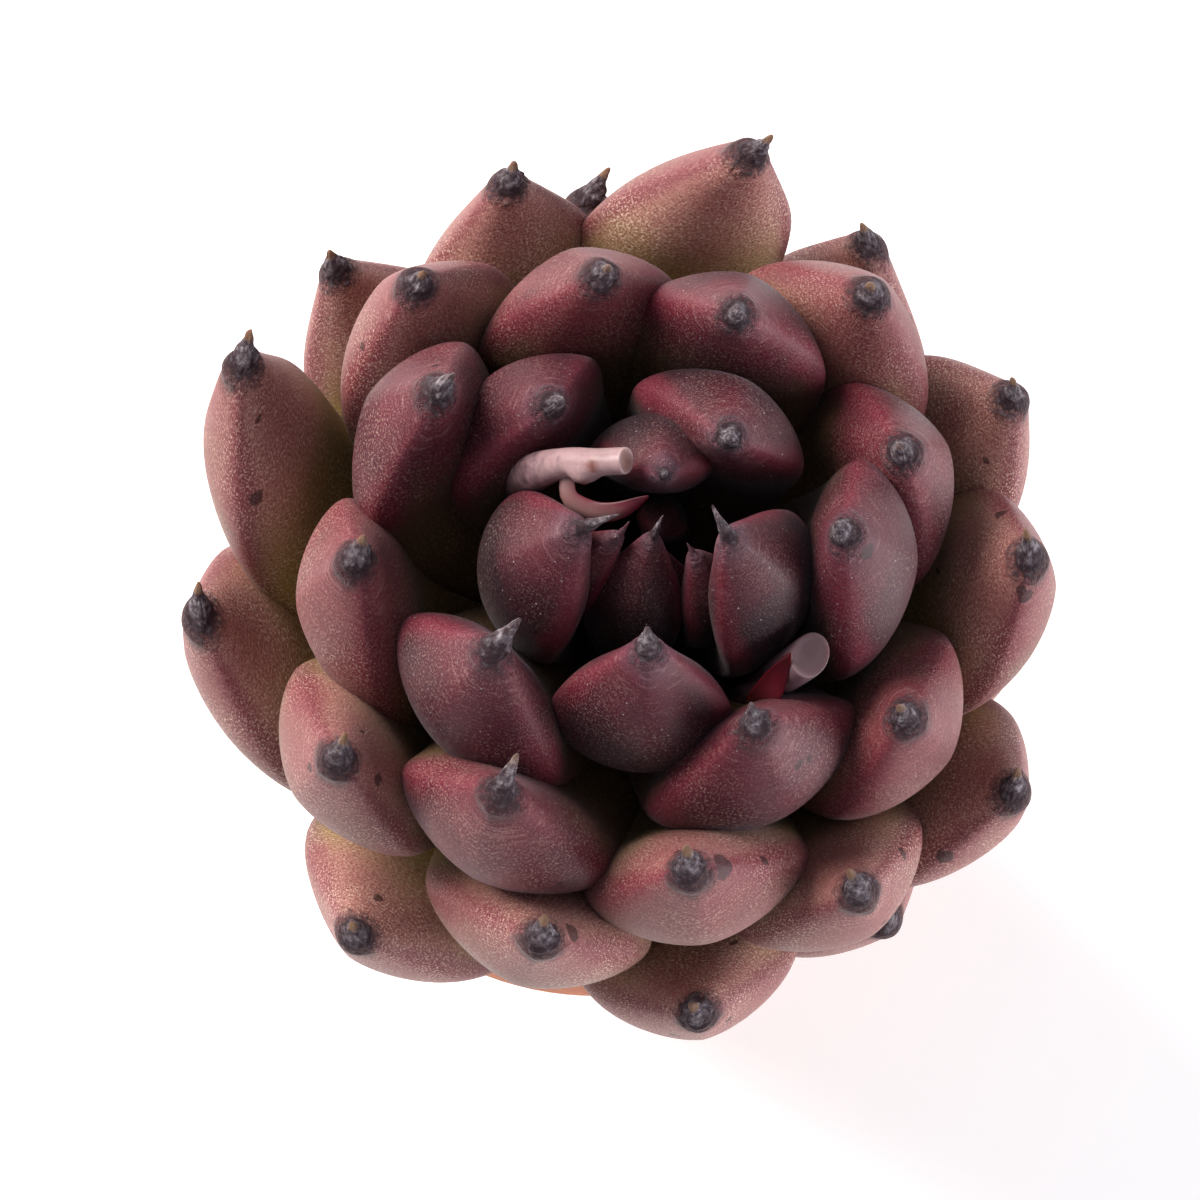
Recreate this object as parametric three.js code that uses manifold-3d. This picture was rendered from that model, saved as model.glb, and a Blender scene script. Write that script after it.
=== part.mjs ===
import * as THREE from "three";
import { mergeVertices } from "three/addons/utils/BufferGeometryUtils.js";
import Module from "manifold-3d";

const wasm = await Module();
wasm.setup();

// A small potted echeveria: one thick-leaved rosette on a short woody stem, in a plain clay pot.
// Millimetres, +Z up. The origin is the middle of the pot's foot, on the surface that it stands on.

// Clay pot
const POT_HEIGHT = 36;
const POT_RIM_RADIUS = 22.4;
const POT_FOOT_RADIUS = 14.2;
const POT_WALL = 2.8;
const POT_FLOOR = 3.2;
const RIM_BAND_HEIGHT = 11;
const RIM_BAND_STEP = 1.7;
const RIM_ROUND = 0.9;
const FOOT_BEVEL = 0.8;
const BAND_SHOULDER = 1;
const INSIDE_COVE = 1.5;
const FOOT_THINNING = 1;
const SHOULDER_THINNING = 0.6;
const DRAIN_RADIUS = 3;
const POT_SIDES = 40;

// Soil and stem
const FIT_GAP = 0.3;
const SOIL_TOP = 33.2;
const SOIL_RELIEF = 0.45;
const SOIL_FLARE = 1;
const SOIL_RINGS = [1, 0.82, 0.64, 0.48, 0.32, 0.16, 0];
const STEM_RADIUS = 3.7;
const STEM_DEPTH = 12;
const STEM_SCAR = 0.3;
const STEM_SCARS = 6;
const SCAR_HEIGHT = 1;
const STEM_SIDES = 20;
const FIRST_SCAR = 1.2;
const LAST_SCAR = 0.8;
const STEM_END_SHARE = 0.7;
const STEM_END_ROUND = 0.2;
const HOLE_OVERRUN = 5;

// Rosette: heights below are measured from the level of its lowest leaf tips
const ROSETTE_LEVEL = 57;
const CROWN_BOTTOM = -18.5;
const CROWN_PROFILE = [[4.4, CROWN_BOTTOM], [4.8, CROWN_BOTTOM / 2], [4, 0], [2.8, 4]];
const CROWN_TOP = 6;
const FIRST_LEAF = -3;
const LAST_LEAF = 40;
const FIRST_AZIMUTH = 28.3;
const SPIRAL_ANGLE = 137.93;
const SPIRAL_REACH = 27;
const SPIRAL_FULL = 34;
const SPIRAL_LIMIT = 1.1;
const HEART_HEIGHT = 23;
const HEART_DROP = 1.2;
const HEART_LEAVES = 7;
const SINK_SPAN = 30;
const SINK_POWER = 1.75;
const CLOSEST_REACH = 0.6;
const HEART_ROOT = 3.9;
const ROOT_STEP = 0.5;
const ROOT_SPREAD = 0.05;

// Leaves that grew off the spiral: degrees turned, millimetres further out, millimetres higher,
// degrees more of lean, and share wider
const STRAY_LEAVES = {
  "-3": [0, 0, -4, 0, 0],
  "-2": [0, 0, -3, 0, 0],
  "-1": [52, 1.6, 0, 0, 0],
  0: [-58, 1.9, -1, 0, 0],
  1: [10, -0.5, -1, 9, 0.05],
  2: [-10, -0.5, 0.5, 0, 0.05],
  3: [14, 0, 3, 0, 0.1],
  4: [12, -0.5, 0.5, 0, 0],
  5: [6, -0.5, 0.5, 11, 0.05],
  6: [0, 0.5, 1.5, 0, -0.05],
  7: [6, 0.5, -1.5, 0, 0],
  8: [4, 0.5, 2.5, 0, 0.05],
  9: [10, 1.5, 0.5, 0, 0.05],
  10: [-2, 1, 0, -3, 0],
  11: [0, 0, 0, 0, 0.05],
  12: [-6, 0.5, 0.5, 0, 0],
  13: [0, 0, -1.5, 0, 0],
  14: [0, 2, 0, 0, 0.05],
  15: [0, -2, 0.5, 0, -0.05],
  16: [-2, 0, -0.5, 3, 0],
  17: [0, -1.5, 0, 0, 0],
  18: [0, -0.5, 1, 0, 0.05],
  19: [4, -0.5, 2, 3, 0],
  20: [0, -0.5, 0, -3, 0],
  21: [4, 0.5, 0, -5, 0.05],
  22: [0, 0, 1.5, -8, 0],
  23: [-4, 2, 0, 8, 0],
  25: [-8, 2, 2.5, 8, -0.05],
  26: [0, 0, 0, -3, 0],
  27: [8, -1, 2.5, -6, 0.05],
  28: [0, 0, 0.5, 0, 0],
  29: [-2, 0.5, 0, -5, 0.05],
  30: [-8, 1, -1.5, 3, 0.2],
  31: [2, 0, -0.5, -11, 0.05],
  32: [0, 0.5, -1, 0, 0.05],
  33: [-6, 1.5, -0.5, -6, -0.05],
  34: [0, -1.5, 1, -8, 0],
  35: [8, 1.5, 1, -3, 0.1],
  36: [10, -0.5, 1.5, 8, 0.05],
  37: [0, -0.5, 0.5, 0, 0],
  38: [0, -3, 0, 0, 0],
  39: [0, -3, 0, 0, 0],
  40: [0, -3, 0, 0, 0],
};

// Midribs: angles above the level in degrees, and how far each end keeps its direction
const OLD_LEAVING = 2;
const YOUNG_LEAVING = 49;
const YOUNG_ARRIVING = 119;
const ARRIVING_STEP = 1.45;
const ROOT_HANDLE = 0.51;
const TIP_HANDLE = 0.515;
const TIP_LEAN = 3.7;
const LEAN_FROM = 0.45;
const LEAN_POWER = 1.5;

// Leaf blade
const LEAF_HALF_WIDTH = 7.3;
const LEAF_THICKNESS = 7.5;
const FULL_SIZE_AGE = 4;
const HEART_VIGOUR = 0.5;
const HEART_SHRINK = 0.85;
const WIDTH_TAPER = 1.75;
const THICKNESS_TAPER = 2;
const THICKNESS_ROUND = 0.75;
const INNER_FACE_SHARE = 0.45;
const NECK_WIDTH_SHARE = 0.42;
const NECK_THICKNESS_SHARE = 0.53;
const WIDEST_AT = 0.62;
const THICKEST_AT = 0.7;
const SPINE_RADIUS = 1;
const SPINE_SHARE = 0.4;
const LEAF_SIDES = 8;
const LEAF_STATIONS = [1.04, 0.985, 0.94, 0.85, 0.7, 0.52, 0.34, 0.16, 0];

// Cut flower stalks: centre lines from root to cut end, measured from the crown's middle
const STALK_RADIUS = 1.1;
const STALK_SIDES = 5;
const STALK_STEPS = 8;
const LEFT_STALK = [
  [-7.2, 1.4, 2],
  [-8.7, 1.4, 12],
  [-8.0, 1.5, 17],
  [-6.2, 1.8, 20.6],
  [-4.4, 2.0, 22],
  [-2.7, 2.3, 22.4],
];
const RIGHT_STALK = [
  [7.2, -4.6, 1],
  [8.4, -5.4, 9],
  [9.7, -5.3, 15],
  [10.9, -4.5, 19],
];

// Bracts on the stalks: centre line from root to point, and half the width at the middle
const BRACT_THICKNESS = 0.7;
const BRACT_HALF_WIDTH = 0.9;
const BRACT_SIDES = 6;
const BRACT_RINGS = 6;
const LEFT_BRACT = [
  [-6.3, 1.9, 20.3],
  [-5.6, 0, 19.5],
  [-4, -0.5, 19.6],
  [-2.5, -0.1, 20.3],
  [-1, 1.1, 21.6],
];
const RIGHT_BRACT = [
  [9.2, -5.4, 12.6],
  [9.15, -7.1, 13.6],
  [9.2, -6.9, 16.2],
  [9.2, -5.6, 19.1],
];

const radians = THREE.MathUtils.degToRad;

function finish(color, roughness) {
  return new THREE.MeshStandardMaterial({ color, roughness, metalness: 0 });
}

// A closed surface as a solid that can be joined and cut
function solidOf(geometry) {
  const bare = new THREE.BufferGeometry();
  bare.setAttribute("position", geometry.getAttribute("position"));
  bare.setIndex(geometry.index);
  const merged = mergeVertices(bare, 1e-4);
  const vertProperties = new Float32Array(merged.getAttribute("position").array);
  const triVerts = new Uint32Array(merged.index.array);
  return new wasm.Manifold(new wasm.Mesh({ numProp: 3, vertProperties, triVerts }));
}

function geometryOf(solid) {
  const mesh = solid.getMesh();
  const geometry = new THREE.BufferGeometry();
  geometry.setAttribute("position", new THREE.BufferAttribute(mesh.vertProperties, 3));
  geometry.setIndex(new THREE.BufferAttribute(mesh.triVerts, 1));
  geometry.computeVertexNormals();
  return geometry;
}

function lathe(profile, sides) {
  const points = profile.map(([radius, height]) => new THREE.Vector2(radius, height));
  return new THREE.LatheGeometry(points, sides).rotateX(Math.PI / 2);
}

// Quarter-round points from one angle to another, in degrees
function roundCorner(centreRadius, centreHeight, radius, from, to) {
  return [0, 0.5, 1].map((share) => {
    const angle = radians(THREE.MathUtils.lerp(from, to, share));
    return [centreRadius + radius * Math.cos(angle), centreHeight + radius * Math.sin(angle)];
  });
}

const bandBottom = POT_HEIGHT - RIM_BAND_HEIGHT;
const wallTop = POT_RIM_RADIUS - RIM_BAND_STEP - BAND_SHOULDER;
const footInside = POT_FOOT_RADIUS - POT_WALL + FOOT_THINNING;

// The pot's inner face from the floor up: radius and height
const potInside = [
  [footInside - INSIDE_COVE, POT_FLOOR],
  [footInside, POT_FLOOR + INSIDE_COVE],
  [wallTop - POT_WALL + SHOULDER_THINNING, bandBottom],
  [POT_RIM_RADIUS - POT_WALL, POT_HEIGHT - RIM_ROUND],
];

// The clay pot: tapered wall, upright rim band, flat foot with a drain hole
function makePot() {
  const profile = [
    [DRAIN_RADIUS, 0],
    [POT_FOOT_RADIUS - FOOT_BEVEL, 0],
    [POT_FOOT_RADIUS, FOOT_BEVEL],
    [wallTop, bandBottom],
    [POT_RIM_RADIUS - BAND_SHOULDER, bandBottom + BAND_SHOULDER / 3],
    [POT_RIM_RADIUS - BAND_SHOULDER / 2, bandBottom + BAND_SHOULDER],
    ...roundCorner(POT_RIM_RADIUS - RIM_ROUND, POT_HEIGHT - RIM_ROUND, RIM_ROUND, 0, 90),
    ...roundCorner(POT_RIM_RADIUS - POT_WALL + RIM_ROUND, POT_HEIGHT - RIM_ROUND, RIM_ROUND, 90, 150),
    ...potInside.toReversed(),
    [DRAIN_RADIUS, POT_FLOOR],
    [DRAIN_RADIUS, 0],
  ];
  return lathe(profile, POT_SIDES);
}

// The pot's fill, with a lumpy top and a plain hole for the stem
function makeSoil(stemX, stemY) {
  const wall = potInside.slice(0, 3).map(([radius, height]) => [radius - FIT_GAP, height + FIT_GAP]);
  const edge = potInside[2][0] + SOIL_FLARE;
  const rings = SOIL_RINGS.map((share) => [edge * share, SOIL_TOP]);
  const profile = [[0, POT_FLOOR + FIT_GAP], ...wall, ...rings];
  const fill = lathe(profile, POT_SIDES);
  const place = fill.getAttribute("position");
  for (let i = 0; i < place.count; i++) {
    const x = place.getX(i);
    const y = place.getY(i);
    const z = place.getZ(i);
    if (z > SOIL_TOP - 0.01) {
      const lumps = Math.sin(0.9 * x + 1.3) * Math.cos(0.8 * y) + 0.6 * Math.sin(1.7 * x - 1.1 * y);
      place.setZ(i, z + SOIL_RELIEF * lumps);
    }
  }
  const holeBottom = SOIL_TOP - STEM_DEPTH - FIT_GAP;
  const holeRadius = STEM_RADIUS + STEM_SCAR + FIT_GAP;
  const holeLength = STEM_DEPTH + HOLE_OVERRUN;
  const hole = new THREE.CylinderGeometry(holeRadius, holeRadius, holeLength, STEM_SIDES);
  hole.rotateX(Math.PI / 2).translate(stemX, stemY, holeBottom + holeLength / 2);
  return geometryOf(solidOf(fill).subtract(solidOf(hole)));
}

// The short woody stem, ringed by the scars of fallen leaves
function makeStem(bottom, top) {
  const profile = [[0, bottom], [STEM_RADIUS * STEM_END_SHARE, bottom + STEM_END_ROUND]];
  for (let ring = 0; ring < STEM_SCARS; ring++) {
    const height = THREE.MathUtils.lerp(bottom + FIRST_SCAR, top - LAST_SCAR, ring / (STEM_SCARS - 1));
    profile.push([STEM_RADIUS, height - SCAR_HEIGHT / 2]);
    profile.push([STEM_RADIUS + STEM_SCAR, height]);
    profile.push([STEM_RADIUS, height + SCAR_HEIGHT / 2]);
  }
  profile.push([STEM_RADIUS - STEM_END_ROUND, top], [0, top]);
  return lathe(profile, STEM_SIDES);
}

// How a leaf of one age lies: direction, both ends of its midrib as reach and height, and size.
// The heart leaves stay small; from the second leaf on each is nearer to full size
function leafShape(age) {
  const [turned, further, higher, leaning, wider] = STRAY_LEAVES[age] ?? [0, 0, 0, 0, 0];
  const grown = Math.max(age, 0) / SPIRAL_FULL;
  const reach = SPIRAL_REACH * Math.sin(Math.PI / 2 * Math.min(grown, SPIRAL_LIMIT));
  const sunk = (Math.max(0, age - HEART_LEAVES) / SINK_SPAN) ** SINK_POWER;
  const height = HEART_HEIGHT * (1 - sunk) + HEART_DROP * Math.min(0, age);
  const rootReach = 1 + ROOT_SPREAD * Math.max(age, 0);
  const rootHeight = HEART_ROOT - ROOT_STEP * (Math.max(age, -1) - 1);
  const youth = Math.max(LAST_LEAF - age, 0) / LAST_LEAF;
  const vigour = age > 1 ? (age + 1) / FULL_SIZE_AGE : HEART_VIGOUR * HEART_SHRINK ** (1 - age);
  return {
    azimuth: radians(FIRST_AZIMUTH - SPIRAL_ANGLE * age + turned),
    lean: radians(TIP_LEAN + leaning),
    tip: new THREE.Vector2(Math.max(reach, CLOSEST_REACH) + further, height + higher),
    root: new THREE.Vector2(rootReach, rootHeight),
    leaving: radians(THREE.MathUtils.lerp(OLD_LEAVING, OLD_LEAVING + YOUNG_LEAVING, youth ** 2)),
    arriving: radians(YOUNG_ARRIVING - ARRIVING_STEP * Math.max(age, 0)),
    halfWidth: LEAF_HALF_WIDTH * (1 + wider) * (1 - Math.exp(-vigour)),
    thickness: LEAF_THICKNESS * (1 - Math.exp(-vigour - 1 / FULL_SIZE_AGE)),
  };
}

function widthShare(along) {
  if (along < WIDEST_AT) {
    return THREE.MathUtils.lerp(NECK_WIDTH_SHARE, 1, Math.sin(Math.PI / 2 * along / WIDEST_AT));
  }
  return 1 - Math.min(1, (along - WIDEST_AT) / (1 - WIDEST_AT)) ** WIDTH_TAPER;
}

function thicknessShare(along) {
  if (along < THICKEST_AT) {
    return THREE.MathUtils.lerp(NECK_THICKNESS_SHARE, 1, Math.sin(Math.PI / 2 * along / THICKEST_AT));
  }
  const past = Math.min(1, (along - THICKEST_AT) / (1 - THICKEST_AT));
  return (1 - past ** THICKNESS_TAPER) ** THICKNESS_ROUND;
}

// One thick leaf on its curved midrib, ending in a short hard spine that leans clockwise
function makeLeaf(age) {
  const leaf = leafShape(age);
  const chord = leaf.root.distanceTo(leaf.tip);
  const leave = new THREE.Vector2(Math.cos(leaf.leaving), Math.sin(leaf.leaving));
  const arrive = new THREE.Vector2(Math.cos(leaf.arriving), Math.sin(leaf.arriving));
  const midrib = new THREE.CubicBezierCurve(
    leaf.root,
    leaf.root.clone().addScaledVector(leave, ROOT_HANDLE * chord),
    leaf.tip.clone().addScaledVector(arrive, -TIP_HANDLE * chord),
    leaf.tip,
  );
  const length = midrib.getLength();
  const facing = leaf.azimuth + leaf.lean;
  const out = new THREE.Vector3(Math.cos(facing), Math.sin(facing), 0);
  const side = new THREE.Vector3(-out.y, out.x, 0);
  const up = new THREE.Vector3(0, 0, 1);
  const blade = new THREE.SphereGeometry(1, LEAF_SIDES, LEAF_STATIONS.length - 1);
  const place = blade.getAttribute("position");
  const around = blade.getAttribute("uv");
  const spineRadius = Math.min(SPINE_RADIUS, SPINE_SHARE * leaf.halfWidth);
  for (let i = 0; i < place.count; i++) {
    const along = LEAF_STATIONS[Math.round((1 - around.getY(i)) * (LEAF_STATIONS.length - 1))];
    const angle = 2 * Math.PI * around.getX(i);
    const pole = along === LEAF_STATIONS[0] || along === 0;
    const inside = Math.min(along, 1);
    const at = midrib.getPointAt(inside);
    const heading = midrib.getTangentAt(inside);
    at.addScaledVector(heading, (along - inside) * length);
    const half = pole ? 0 : Math.max(spineRadius, leaf.halfWidth * widthShare(along));
    const thick = pole ? 0 : Math.max(2 * spineRadius, leaf.thickness * thicknessShare(along));
    const share = Math.sin(angle) > 0 ? INNER_FACE_SHARE : 1 - INNER_FACE_SHARE;
    const bend = Math.max(0, (along - LEAN_FROM) / (1 - LEAN_FROM)) ** LEAN_POWER;
    const across = half * Math.cos(angle) - leaf.tip.x * Math.sin(leaf.lean) * bend;
    const rise = thick * share * Math.sin(angle);
    const point = new THREE.Vector3()
      .addScaledVector(out, at.x - heading.y * rise)
      .addScaledVector(up, at.y + heading.x * rise)
      .addScaledVector(side, across);
    place.setXYZ(i, point.x, point.y, point.z);
  }
  return blade;
}

function curveThrough(points) {
  return new THREE.CatmullRomCurve3(points.map(([x, y, z]) => new THREE.Vector3(x, y, z)));
}

// A round stalk along a curve, cut square at its end, and fatter all round by the gap
function makeStalk(points, gap) {
  const section = new THREE.Shape();
  section.absarc(0, 0, STALK_RADIUS + gap, 0, 2 * Math.PI);
  return new THREE.ExtrudeGeometry(section, {
    steps: STALK_STEPS,
    curveSegments: STALK_SIDES,
    extrudePath: curveThrough(points),
    bevelEnabled: false,
  });
}

// A small pointed scale that lies along a curve, and fatter all round by the gap
function makeBract(points, gap) {
  const curve = curveThrough(points);
  const scale = new THREE.SphereGeometry(1, BRACT_SIDES, BRACT_RINGS);
  const place = scale.getAttribute("position");
  const start = curve.getPoint(0);
  const flat = curve.getPoint(1).sub(start).cross(curve.getPoint(0.5).sub(start)).normalize();
  for (let i = 0; i < place.count; i++) {
    const local = new THREE.Vector3().fromBufferAttribute(place, i);
    const along = (1 - local.y) / 2;
    const ahead = curve.getTangent(along);
    const across = new THREE.Vector3().crossVectors(ahead, flat).normalize();
    const point = curve.getPoint(along)
      .addScaledVector(across, local.z * (BRACT_THICKNESS / 2 + gap))
      .addScaledVector(flat, local.x * (BRACT_HALF_WIDTH + gap))
      .addScaledVector(ahead, -local.y * gap);
    place.setXYZ(i, point.x, point.y, point.z);
  }
  return scale;
}

// A cut stalk with the bract that sits on it, as one growth
function makeStalkWithBract(stalkPoints, bractPoints, gap = 0) {
  return solidOf(makeStalk(stalkPoints, gap)).add(solidOf(makeBract(bractPoints, gap)));
}

// Every leaf fused to the crown that they grow from, with room for each cut stalk
function makeRosette() {
  const crown = lathe([[0, CROWN_BOTTOM], ...CROWN_PROFILE, [0, CROWN_TOP]], STEM_SIDES);
  const pieces = [solidOf(crown)];
  for (let age = FIRST_LEAF; age <= LAST_LEAF; age++) pieces.push(solidOf(makeLeaf(age)));
  let fused = wasm.Manifold.union(pieces);
  fused = fused.subtract(makeStalkWithBract(LEFT_STALK, LEFT_BRACT, FIT_GAP));
  fused = fused.subtract(makeStalkWithBract(RIGHT_STALK, RIGHT_BRACT, FIT_GAP));
  const bodies = fused.decompose();
  bodies.sort((a, b) => b.volume() - a.volume());
  return geometryOf(bodies[0]);
}

const rosetteGeometry = makeRosette();
rosetteGeometry.computeBoundingBox();

// The rosette grew wider to one side: its box, not its stem, is centred over the pot
const rosetteMiddle = rosetteGeometry.boundingBox.getCenter(new THREE.Vector3());
const plant = new THREE.Group();
plant.position.set(-rosetteMiddle.x, -rosetteMiddle.y, ROSETTE_LEVEL);

function place(group, name, geometry, material) {
  const mesh = new THREE.Mesh(geometry, material);
  mesh.name = name;
  group.add(mesh);
}

const pottedPlant = new THREE.Group();
pottedPlant.name = "potted_echeveria";
pottedPlant.add(plant);

const stemTop = CROWN_BOTTOM - FIT_GAP;
const stemBottom = SOIL_TOP - STEM_DEPTH - ROSETTE_LEVEL;
place(pottedPlant, "pot", makePot(), finish("#b5643f", 0.85));
place(pottedPlant, "soil", makeSoil(plant.position.x, plant.position.y), finish("#3d2c22", 0.95));
place(plant, "stem", makeStem(stemBottom, stemTop), finish("#7a6148", 0.85));
place(plant, "rosette", rosetteGeometry, finish("#7d4149", 0.55));
const leftStub = geometryOf(makeStalkWithBract(LEFT_STALK, LEFT_BRACT));
const rightStub = geometryOf(makeStalkWithBract(RIGHT_STALK, RIGHT_BRACT));
place(plant, "flower_stalk_left", leftStub, finish("#d9a79c", 0.6));
place(plant, "flower_stalk_right", rightStub, finish("#c98f8c", 0.6));

export default pottedPlant;
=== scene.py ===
import math
import random

import bpy
import numpy as np
from mathutils import Matrix, Vector, noise


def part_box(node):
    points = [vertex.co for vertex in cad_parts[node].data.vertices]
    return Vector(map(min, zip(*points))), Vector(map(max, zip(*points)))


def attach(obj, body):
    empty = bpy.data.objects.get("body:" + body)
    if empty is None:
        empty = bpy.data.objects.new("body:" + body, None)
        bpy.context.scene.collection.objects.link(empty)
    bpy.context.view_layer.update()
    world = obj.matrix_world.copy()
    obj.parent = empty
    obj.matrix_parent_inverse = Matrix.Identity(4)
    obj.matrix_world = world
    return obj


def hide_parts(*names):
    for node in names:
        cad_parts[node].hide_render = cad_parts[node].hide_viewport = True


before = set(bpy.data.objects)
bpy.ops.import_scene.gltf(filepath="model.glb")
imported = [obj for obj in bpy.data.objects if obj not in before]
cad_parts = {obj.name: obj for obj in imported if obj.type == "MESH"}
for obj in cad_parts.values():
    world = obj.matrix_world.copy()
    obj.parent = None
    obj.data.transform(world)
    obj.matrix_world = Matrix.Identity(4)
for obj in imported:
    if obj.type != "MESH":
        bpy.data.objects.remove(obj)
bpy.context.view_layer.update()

# A small black queen echeveria in a clay pot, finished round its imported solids. Lengths are in metres.

MM = 0.001

# Where the plant stands: its axis is the stem's, and its level is height zero of the leaf rule
STEM_LOW, STEM_HIGH = (Vector(corner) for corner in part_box("stem"))
CROWN_DEPTH = 18.5 * MM
FIT_GAP = 0.3 * MM
PLANT = Vector((
    (STEM_LOW.x + STEM_HIGH.x) / 2,
    (STEM_LOW.y + STEM_HIGH.y) / 2,
    STEM_HIGH.z + FIT_GAP + CROWN_DEPTH,
))

# The camera looks steeply down on the rosette, turned a little
CAMERA_TILT = math.radians(13.5)
CAMERA_TURN = math.radians(-17.6)
CAMERA_DISTANCE = 250 * MM
PHOTO_WIDTH = 1200
PHOTO_FOCUS = 3910
PHOTO_OFFSET = 34
SENSOR_WIDTH = 36

# Spiral of the leaves, as in the part: millimetres and degrees
FIRST_LEAF = -3
LAST_LEAF = 40
FIRST_AZIMUTH = 28.3
SPIRAL_ANGLE = 137.93
SPIRAL_REACH = 27
SPIRAL_FULL = 34
SPIRAL_LIMIT = 1.1
HEART_HEIGHT = 23
HEART_DROP = 1.2
HEART_LEAVES = 7
SINK_SPAN = 30
SINK_POWER = 1.75
CLOSEST_REACH = 0.6
HEART_ROOT = 3.9
ROOT_STEP = 0.5
ROOT_SPREAD = 0.05
OLD_LEAVING = 2
YOUNG_LEAVING = 49
YOUNG_ARRIVING = 119
ARRIVING_STEP = 1.45
ROOT_HANDLE = 0.51
TIP_HANDLE = 0.515
TIP_LEAN = 3.7
LEAN_FROM = 0.45
LEAN_POWER = 1.5

# Leaves that grew off the spiral: degrees turned, millimetres further out, millimetres higher,
# degrees more of lean, and share wider
STRAY_LEAVES = {
    -3: (0, 0, -4, 0, 0), -2: (0, 0, -3, 0, 0), -1: (52, 1.6, 0, 0, 0), 0: (-58, 1.9, -1, 0, 0),
    1: (10, -0.5, -1, 9, 0.05), 2: (-10, -0.5, 0.5, 0, 0.05), 3: (14, 0, 3, 0, 0.1),
    4: (12, -0.5, 0.5, 0, 0), 5: (6, -0.5, 0.5, 11, 0.05), 6: (0, 0.5, 1.5, 0, -0.05),
    7: (6, 0.5, -1.5, 0, 0), 8: (4, 0.5, 2.5, 0, 0.05), 9: (10, 1.5, 0.5, 0, 0.05),
    10: (-2, 1, 0, -3, 0), 11: (0, 0, 0, 0, 0.05), 12: (-6, 0.5, 0.5, 0, 0), 13: (0, 0, -1.5, 0, 0),
    14: (0, 2, 0, 0, 0.05), 15: (0, -2, 0.5, 0, -0.05), 16: (-2, 0, -0.5, 3, 0),
    17: (0, -1.5, 0, 0, 0), 18: (0, -0.5, 1, 0, 0.05), 19: (4, -0.5, 2, 3, 0),
    20: (0, -0.5, 0, -3, 0), 21: (4, 0.5, 0, -5, 0.05), 22: (0, 0, 1.5, -8, 0),
    23: (-4, 2, 0, 8, 0), 25: (-8, 2, 2.5, 8, -0.05), 26: (0, 0, 0, -3, 0),
    27: (8, -1, 2.5, -6, 0.05), 28: (0, 0, 0.5, 0, 0), 29: (-2, 0.5, 0, -5, 0.05),
    30: (-8, 1, -1.5, 3, 0.2), 31: (2, 0, -0.5, -11, 0.05), 32: (0, 0.5, -1, 0, 0.05),
    33: (-6, 1.5, -0.5, -6, -0.05), 34: (0, -1.5, 1, -8, 0), 35: (8, 1.5, 1, -3, 0.1),
    36: (10, -0.5, 1.5, 8, 0.05), 37: (0, -0.5, 0.5, 0, 0), 38: (0, -3, 0, 0, 0),
    39: (0, -3, 0, 0, 0), 40: (0, -3, 0, 0, 0),
}
ON_THE_SPIRAL = (0, 0, 0, 0, 0)

# One leaf's blade
LEAF_HALF_WIDTH = 7.3
LEAF_THICKNESS = 7.5
FULL_SIZE_AGE = 4
HEART_VIGOUR = 0.5
HEART_SHRINK = 0.85
INNER_FACE_SHARE = 0.45
NECK_WIDTH_SHARE = 0.42
NECK_THICKNESS_SHARE = 0.53
WIDEST_AT = 0.62
THICKEST_AT = 0.7
WIDTH_TAPER = 1.75
THICKNESS_TAPER = 2
THICKNESS_ROUND = 0.75
LEAF_SIDES = 20

# Its section, as powers of the way out to the edge, and where along the blade each form comes and goes
INNER_FLATNESS = 2.4
EDGE_SHARPNESS = 0.66
KEEL_LOW = 1.9
KEEL_HIGH = 1.5
KEEL_CHANGES = (0.55, 0.88)
SECTION_COMES = (0.15, 0.5)
SECTION_ENDS = 0.93
SLIMMING = (0.1, 0.2)
SLIMMING_COMES = (0.74, 0.91)
SLIMMING_ENDS = 0.935
BLADE_STATIONS = [0, 0.1, 0.22, 0.34, 0.46, 0.56, 0.65, 0.73, 0.8, 0.86, 0.905, 0.935, 0.956]

# Leaf points. They bend towards the light and the plant's middle; young ones are slender spines.
# Each ring of a point: how far along the leaf, and its radius in millimetres on a full-grown leaf
POINT_FROM = 0.965
POINT_LENGTHS = {1: 0.8, 2: 0.5, 3: 0.85, 4: 1.0, 9: 1.0, 12: 1.0, 14: 0.9}
POINT_WAYS = {1: (0.8, 0.6, 0), 3: (-0.5, 1, 0), 4: (1.2, 0.3, -0.3), 9: (0.6, 0.5, 0), 14: (0, 0.9, 0)}
LIGHT_WAY = (-0.3, 0.9, 0.2)
POINT_BEND = (0.28, 0.14)
SLENDER_BEFORE = 5
SLENDER_SHARE = 0.38
POINT_ROUGHNESS = 0.3
POINT_RINGS = [
    (0.963, 1.02), (0.969, 0.97), (0.978, 0.87), (0.989, 0.71), (1.0, 0.54), (1.01, 0.4), (1.019, 0.31),
    (1.028, 0.24), (1.035, 0.14),
]
POINT_END = 0.003
POINT_SHARES = (0.45, 0.8)
POINT_GIRTHS = (0.84, 1.1)

# Dents of a blade: waves round it and steps along it, and their depth as a share of the thickness
DENT_WAVES = [(1, 4), (2, 7), (3, 6), (1, 11)]
DENT_DEPTH = 0.012

# Old scars: place round the blade and along it, and width in millimetres
SCARS = {
    8: [(0.7, 0.925, 1.1)], 19: [(0.0, 0.925, 1.7), (0.28, 0.94, 0.8)], 22: [(0.14, 0.885, 0.9)],
    21: [(0.06, 0.84, 0.9), (0.54, 0.925, 1.0), (0.48, 0.94, 0.7)],
    24: [(0.99, 0.85, 0.9), (0.75, 0.94, 1.0)],
    25: [(0.075, 0.79, 1.1)], 27: [(0.12, 0.925, 1.2)], 29: [(0.51, 0.83, 1.2)], 30: [(0.7, 0.94, 1.2)],
}

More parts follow.
